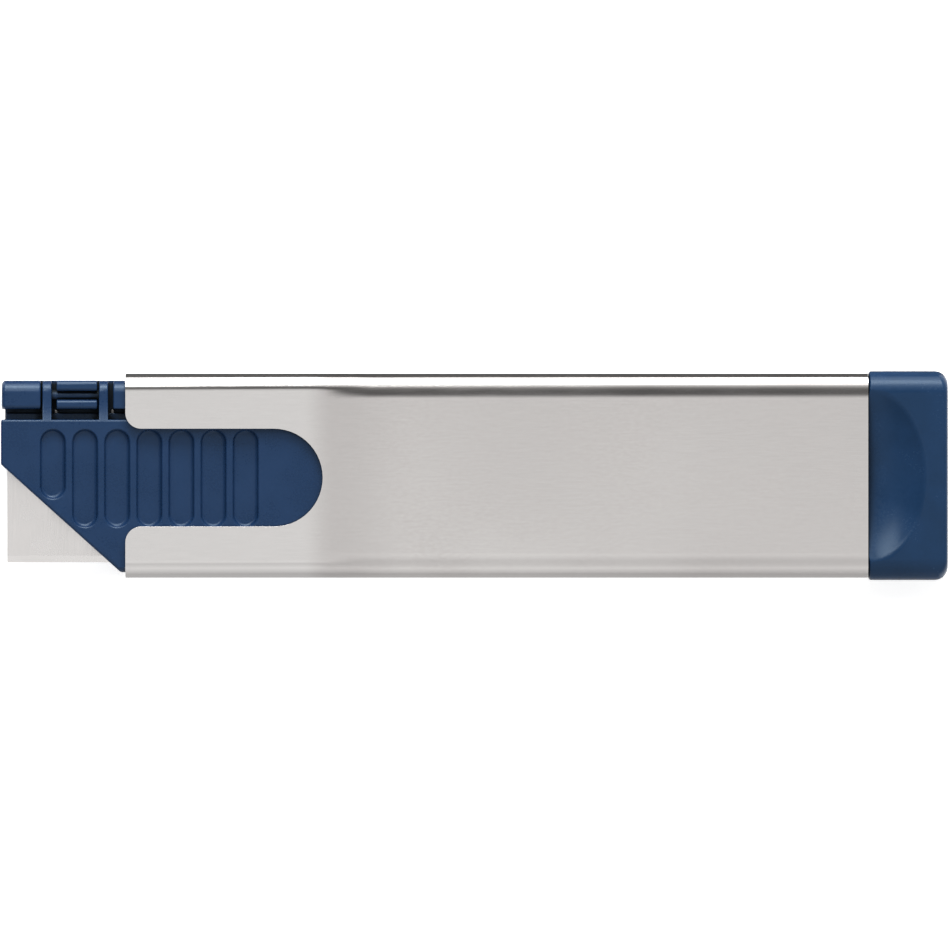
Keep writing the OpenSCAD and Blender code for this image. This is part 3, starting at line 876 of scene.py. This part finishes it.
class Material(Nodes):
    """A material on one principled shader, with textures in millimetres of the object's own space."""

    def __init__(self, name, **uniform):
        self.made = bpy.data.materials.new(name)
        self.made.use_nodes = True
        super().__init__(self.made.node_tree)
        self.shader = self.nodes["Principled BSDF"]
        self.normal = None
        for socket, value in uniform.items():
            self.shader.inputs[socket.replace("_", " ")].default_value = value
        self.place = self.nodes.new("ShaderNodeTexCoord").outputs["Object"]

    def use(self, socket, value):
        self.links.new(value, self.shader.inputs[socket])

    def noise(self, size, detail=3.0, stretch=(1, 1, 1), offset=0):
        """Noise with features of that size in millimetres, drawn out along the axes by stretch."""
        scale = [1 / (MM * size * s) for s in stretch]
        inputs = {"Vector": self.place, "Location": (offset, 0, 0), "Scale": scale}
        moved = self.node("ShaderNodeMapping", inputs).outputs["Vector"]
        inputs = {"Vector": moved, "Scale": 1.0, "Detail": detail}
        return self.node("ShaderNodeTexNoise", inputs).outputs["Fac"]

    def mix(self, factor, a, b):
        """Colour a where the factor is 0, and b where it is 1."""
        made = self.node("ShaderNodeMix", {"Factor": factor}, data_type="RGBA")
        colours = [i for i in made.inputs if i.type == "RGBA"]
        for socket, value in zip(colours, (a, b)):
            if isinstance(value, bpy.types.NodeSocket):
                self.links.new(value, socket)
            else:
                socket.default_value = (*value, 1)
        return [o for o in made.outputs if o.type == "RGBA"][0]

    def bump(self, height, distance, strength):
        """Adds a layer of bump; distance is in millimetres."""
        inputs = {"Height": height, "Distance": distance * MM, "Strength": strength}
        if self.normal is not None:
            inputs["Normal"] = self.normal
        self.normal = self.node("ShaderNodeBump", inputs).outputs["Normal"]
        self.use("Normal", self.normal)

    def edges(self, radius):
        """Share of wear: 0 on faces, rising to 1 at edges sharper than the radius in millimetres."""
        soft = self.node("ShaderNodeBevel", {"Radius": radius * MM}, samples=12).outputs["Normal"]
        true = self.node("ShaderNodeNewGeometry").outputs["Normal"]
        turned = self.node("ShaderNodeVectorMath", {0: soft, 1: true}, operation="DOT_PRODUCT")
        return self.spread(turned.outputs["Value"], 1, 0, 0.9, 0.995)

    def crevice_shade(self, reach, shut, clear):
        """Share of shade: 1 where less than shut of the sky within reach is open, and 0 from clear on."""
        sky = self.node("ShaderNodeAmbientOcclusion", {"Distance": reach * MM}, samples=16)
        return self.spread(sky.outputs["AO"], 1, 0, shut, clear)

    def band_along_x(self, start, end, low, high):
        """Spread from low to high between two places along the knife, in millimetres of its frame."""
        x = self.node("ShaderNodeSeparateXYZ", {"Vector": self.place}).outputs["X"]
        return self.spread(x, low, high, start * MM, end * MM)


def sleeve_steel():
    """Rolled steel: stains and grain, hairlines along the knife; a painted reflection makes it paler beside
    the slot, and painted shade makes it darker behind it.
    """
    m = Material("sleeve_steel", Metallic=1.0, Specular_IOR_Level=0.5)
    mottle = m.noise(9, detail=4, stretch=(1.6, 1, 1))
    grain = m.noise(0.35, detail=3, stretch=(2, 1, 1), offset=3)
    hairlines = m.noise(0.09, detail=2, stretch=(40, 1, 1), offset=7)
    base = m.mix(m.spread(mottle, 0, 1), (0.585, 0.560, 0.546), (0.64, 0.617, 0.603))
    base = m.mix(m.spread(grain, 0, 0.25), base, (0.68, 0.665, 0.65))
    base = m.mix(m.spread(m.noise(34, detail=1, offset=17), 0, 0.5), base, (0.55, 0.527, 0.515))
    slot_end = MOUTH_X + SLOT_L
    # Painted reflection: the sheet beside the slot is made paler, as if it caught more of the light
    slot_side_painted_sheen = m.band_along_x(slot_end - 3, slot_end + 1.5, 1, 0)
    base = m.mix(m.maths("MULTIPLY", slot_side_painted_sheen, 0.55), base, (0.72, 0.705, 0.695))
    # Painted shade: a darker band just behind the slot's end
    shade_from = m.band_along_x(slot_end - 2.5, slot_end + 1.5, 0, 0.5)
    shade_to = m.band_along_x(slot_end + 2, slot_end + 12, 1, 0)
    base = m.mix(m.maths("MULTIPLY", shade_from, shade_to), base, (0.49, 0.468, 0.457))
    m.use("Base Color", m.mix(m.edges(0.2), base, (0.7, 0.69, 0.685)))
    m.use("Roughness", m.maths("ADD", m.spread(mottle, 0.11, 0.14), m.spread(hairlines, -0.01, 0.02)))
    m.bump(m.noise(22, detail=1, offset=11), 0.05, 0.3)
    m.bump(m.noise(1.6, detail=3, stretch=(1.5, 1, 1), offset=13), 0.004, 0.3)
    m.bump(hairlines, 0.001, 0.25)
    return m.made


def plastic(name, deep, light, worn, roughness, specular, grain_size, grain_depth, painted_shade_reach, painted_shade_shares):
    """Moulded navy plastic: clouded colour, a fine moulded grain, paler edges, and painted shade that darkens
    it nearly to black in recesses and gaps.
    """
    m = Material(name, Specular_IOR_Level=specular, Specular_Tint=(0.68, 0.86, 1.0, 1.0))
    cloud = m.noise(5, detail=3)
    grain = m.noise(grain_size, detail=2, offset=5)
    base = m.mix(m.spread(cloud, 0, 1), deep, light)
    base = m.mix(m.spread(grain, 0, 0.1), base, worn)
    base = m.mix(m.maths("MULTIPLY", m.edges(0.18), 0.6), base, worn)
    # Painted shade: the colour goes nearly black where little of the sky is open, in recesses and between
    # parts, and is made rougher there
    crevice_shade = m.crevice_shade(painted_shade_reach, *painted_shade_shares)
    m.use("Base Color", m.mix(crevice_shade, base, (0.001, 0.001, 0.0012)))
    smooth = m.maths("ADD", m.spread(cloud, roughness - 0.03, roughness + 0.04), m.spread(grain, -0.02, 0.03))
    m.use("Roughness", m.maths("ADD", smooth, m.maths("MULTIPLY", crevice_shade, 0.4)))
    m.bump(m.noise(3, detail=2, offset=9), 0.02, 0.2)
    m.bump(grain, grain_depth, 0.5)
    return m.made


SATIN_NAVY = dict(
    deep=(0.0068, 0.0235, 0.067), light=(0.0087, 0.0275, 0.077), worn=(0.017, 0.042, 0.1),
    roughness=0.29, specular=0.32, grain_size=0.3, grain_depth=0.0014, painted_shade_reach=1.3, painted_shade_shares=(0.42, 0.6),
)
GLOSSY_NAVY = dict(
    deep=(0.0078, 0.0255, 0.064), light=(0.0095, 0.0305, 0.078), worn=(0.014, 0.038, 0.092),
    roughness=0.22, specular=0.21, grain_size=0.4, grain_depth=0.001, painted_shade_reach=3, painted_shade_shares=(0.2, 0.98),
)


def blade_steel():
    """Ground steel: a thin film of oil, and fine grinding marks across the edge."""
    m = Material("blade_steel", Metallic=1.0)
    film = m.noise(4, detail=3)
    ground = m.noise(0.09, detail=2, stretch=(1, 30, 1), offset=4)
    base = m.mix(m.spread(film, 0, 1), (0.785, 0.76, 0.745), (0.835, 0.81, 0.795))
    m.use("Base Color", m.mix(m.spread(ground, 0, 0.1), base, (0.86, 0.85, 0.84)))
    m.use("Roughness", m.maths("ADD", m.spread(film, 0.2, 0.27), m.spread(ground, -0.02, 0.03)))
    m.bump(ground, 0.001, 0.2)
    return m.made


def spring_steel(name, dark, light):
    """Drawn or rolled steel, stained between a dark and a light colour."""
    m = Material(name, Metallic=1.0)
    stain = m.noise(1.5, detail=3)
    drawn = m.noise(0.08, detail=2, stretch=(12, 1, 1), offset=2)
    base = m.mix(m.spread(stain, 0, 1), dark, light)
    m.use("Base Color", m.mix(m.spread(drawn, 0, 0.4), base, [1.3 * c for c in light]))
    m.use("Roughness", m.spread(stain, 0.26, 0.4))
    m.bump(drawn, 0.003, 0.4)
    return m.made


def floor_paper():
    """The pale floor, which glows a little so that it comes out white."""
    m = Material("floor_paper", Roughness=0.9, Specular_IOR_Level=0.1, Emission_Color=(1, 1, 1, 1),
                 Emission_Strength=FLOOR_GLOW)
    tooth = m.noise(1.2, detail=4)
    m.use("Base Color", m.mix(m.spread(tooth, 0, 1), (0.86, 0.86, 0.86), (0.9, 0.9, 0.9)))
    return m.made


def dress(node, material, bevel=0.0):
    """Gives a CAD node its finish, and rounds its sharp edges by a bevel in millimetres."""
    shown = frame["nodes"][node]
    for slot in shown.material_slots:
        slot.material = material
    if bevel:
        rounding = shown.modifiers.new("edge_rounding", "BEVEL")
        rounding.width = bevel * MM
        rounding.segments = 2
        rounding.limit_method = "ANGLE"
        rounding.angle_limit = DRESS_ANGLE
        shown.modifiers.new("weighted_normals", "WEIGHTED_NORMAL")


# ---- Stage ----

# Floor and camera, in metres
FLOOR_GLOW = 0.6
FLOOR_HALF = 3.0
FLOOR_GAP = 0.00002
CAMERA_DISTANCE = 2.4
VIEW_WIDTH = 0.12052
VIEW_CENTRE = (0.00009, 0.00008)
# Brightness of the surroundings by their tilt from overhead in degrees, positive towards the knife's spine
SURROUNDINGS = (
    (-180, 0.5), (-105, 0.55), (-75, 0.8), (-45, 1.0), (-12, 0.8), (-4, 1.03), (1, 1.03), (6, 0.12),
    (14, 0.14), (20, 0.45), (27, 0.95), (34, 1.3), (42, 4.2), (100, 4.2), (115, 0.6), (180, 0.5),
)
BRIGHTEST = max(level for _, level in SURROUNDINGS)
# They are dimmer towards the nose: x of a direction at which they are dimmed, and at which they are whole
NOSE_SIDE = (-0.42, -0.16)
NOSE_SIDE_LEVEL = 0.4
# Beyond the ends of the bright strip nothing is brighter than this: x at which it starts and ends to fade
STRIP_END = (0.2, 0.36)
STRIP_END_LEVEL = 0.85
# Cards on the floor beside the knife, which only its reflections show, as painted shade in the reflections
# along its long edges: y from and to, and brightness
CARDS = ((14.0, 70.0, 0.16), (-2900.0, -14.0, 0.62))
CARD_OVERHANG = 2
# Lights aimed at the knife: place and size in metres, and watts
KEY_LIGHT = ((0.0, 0.59, 0.33), (0.5, 0.25), 3.6)
# This one stands off to the nose's side: the cap's hollow shows it, and the sleeve doesn't
HOLLOW_LIGHT = ((-0.245, 0.47, 0.85), (0.32, 0.28), 2.4)


def make_floor():
    mesh = bpy.data.meshes.new("floor")
    h = FLOOR_HALF
    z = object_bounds()[0][2] - FLOOR_GAP
    mesh.from_pydata([(-h, -h, z), (h, -h, z), (h, h, z), (-h, h, z)], [], [(0, 1, 2, 3)])
    floor = bpy.data.objects.new("floor", mesh)
    mesh.materials.append(floor_paper())
    bpy.context.scene.collection.objects.link(floor)


def make_card(number, y0, y1, level):
    mesh = bpy.data.meshes.new(f"card_{number}")
    x = CAP_HIGH[0] + CARD_OVERHANG
    corners = ((-x, y0), (x, y0), (x, y1), (-x, y1))
    mesh.from_pydata([(MM * px, MM * py, 0) for px, py in corners], [], [(0, 1, 2, 3)])
    glow = Material(f"card_{number}", Base_Color=(0, 0, 0, 1), Specular_IOR_Level=0,
                    Emission_Color=(level, level, level, 1), Emission_Strength=1)
    mesh.materials.append(glow.made)
    card = bpy.data.objects.new(f"card_{number}", mesh)
    for ray in ("camera", "diffuse", "transmission", "volume_scatter", "shadow"):
        setattr(card, f"visible_{ray}", False)
    bpy.context.scene.collection.objects.link(card)


def make_surroundings():
    """A world that is bright or dark by a direction's tilt across the knife."""
    world = bpy.data.worlds.new("studio")
    bpy.context.scene.world = world
    world.use_nodes = True
    sky = Nodes(world.node_tree)
    direction = sky.node("ShaderNodeTexCoord").outputs["Generated"]
    x, y, z = sky.node("ShaderNodeSeparateXYZ", {"Vector": direction}).outputs
    span = {"Value": sky.maths("ARCTAN2", y, z), "From Min": -math.pi, "From Max": math.pi}
    share = sky.node("ShaderNodeMapRange", span).outputs["Result"]
    ramp = sky.node("ShaderNodeValToRGB", {"Fac": share})
    stops = ramp.color_ramp.elements
    stops[0].position, stops[1].position = 0, 1
    for angle, _ in SURROUNDINGS[1:-1]:
        stops.new(0.5 + angle / 360)
    for stop, (_, level) in zip(stops, SURROUNDINGS):
        stop.color = (level / BRIGHTEST, level / BRIGHTEST, level / BRIGHTEST, 1)
    limit = sky.spread(sky.maths("ABSOLUTE", x), 1, STRIP_END_LEVEL / BRIGHTEST, *STRIP_END)
    background = sky.nodes["Background"].inputs
    sky.links.new(sky.maths("MINIMUM", ramp.outputs["Color"], limit), background["Color"])
    sky.links.new(sky.spread(x, NOSE_SIDE_LEVEL * BRIGHTEST, BRIGHTEST, *NOSE_SIDE), background["Strength"])


def area_light(name, place, size, watts):
    light = bpy.data.lights.new(name, "AREA")
    light.shape = "RECTANGLE"
    light.size, light.size_y = size
    light.energy = watts
    made = bpy.data.objects.new(name, light)
    made.location = place
    made.rotation_euler = (-Vector(place)).to_track_quat("-Z", "Y").to_euler()
    bpy.context.scene.collection.objects.link(made)


def make_camera():
    """A long lens from straight above, as in the photo."""
    camera = bpy.data.cameras.new("camera")
    camera.sensor_width = 36
    camera.lens = camera.sensor_width * CAMERA_DISTANCE / VIEW_WIDTH
    camera.clip_end = 10
    made = bpy.data.objects.new("camera", camera)
    made.location = (*VIEW_CENTRE, MID_Z * MM + CAMERA_DISTANCE)
    bpy.context.scene.collection.objects.link(made)
    bpy.context.scene.camera = made


# ---- Putting it together ----

def build():
    """Makes every piece and dresses the CAD nodes that stay."""
    steel, blade = sleeve_steel(), blade_steel()
    satin, glossy = plastic("satin_navy", **SATIN_NAVY), plastic("glossy_navy", **GLOSSY_NAVY)
    spring = spring_steel("spring_steel", (0.36, 0.36, 0.37), (0.48, 0.475, 0.47))
    # A darker copy of the spring steel for the pins behind the blade: painted shade, which keeps their glint
    # dim
    pin_steel_painted_dark = spring_steel("pins_painted_dark", (0.09, 0.09, 0.095), (0.14, 0.138, 0.136))
    piece("steel_sleeve", [sleeve_solid()], steel, "sleeve", "sleeve",
          sharp_angle=SHEET_SHARP_ANGLE)
    piece("back_half", holder_back_solids(), satin, "blade_holder", "holder_back",
          cuts=[blade_seat(), button_bore(), *bend_reliefs()])
    piece("front_half", holder_front_solids(), satin, "blade_holder", "holder_front",
          cuts=bend_reliefs())
    piece("blade_back_pins", spine_pin_solids(), pin_steel_painted_dark, "blade_holder", "spine_pins")
    piece("button", [button_solid()], satin, "button", "release_button")
    coil = piece("button_coil", [coil_solid()], spring, "blade_holder", "button_spring")
    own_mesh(coil)
    piece("rear_cap", [cap_solid()], glossy, "cap_and_tray", "end_cap",
          cuts=finger_hollows() + cap_pins(CAP_PIN_PLAY, CAP_HOLE_EDGE_R))
    piece("cross_pins", cap_pins(0, CAP_PIN_EDGE_R), spring, "cap_and_tray", "cap_pins")
    dress("blade", blade)
    for i in (1, 2, 3):
        dress(f"spare_blade_{i}", blade)
    dress("blade_tray", satin, TRAY_BEVEL)
    for node in ("friction_spring", "tray_spring"):
        dress(node, spring, SPRING_BEVEL)


make_camera()
build()
make_floor()
for number, card in enumerate(CARDS):
    make_card(number, *card)
make_surroundings()
area_light("key", *KEY_LIGHT)
area_light("hollow_light", *HOLLOW_LIGHT)

bpy.context.scene.view_settings.view_transform = "Standard"
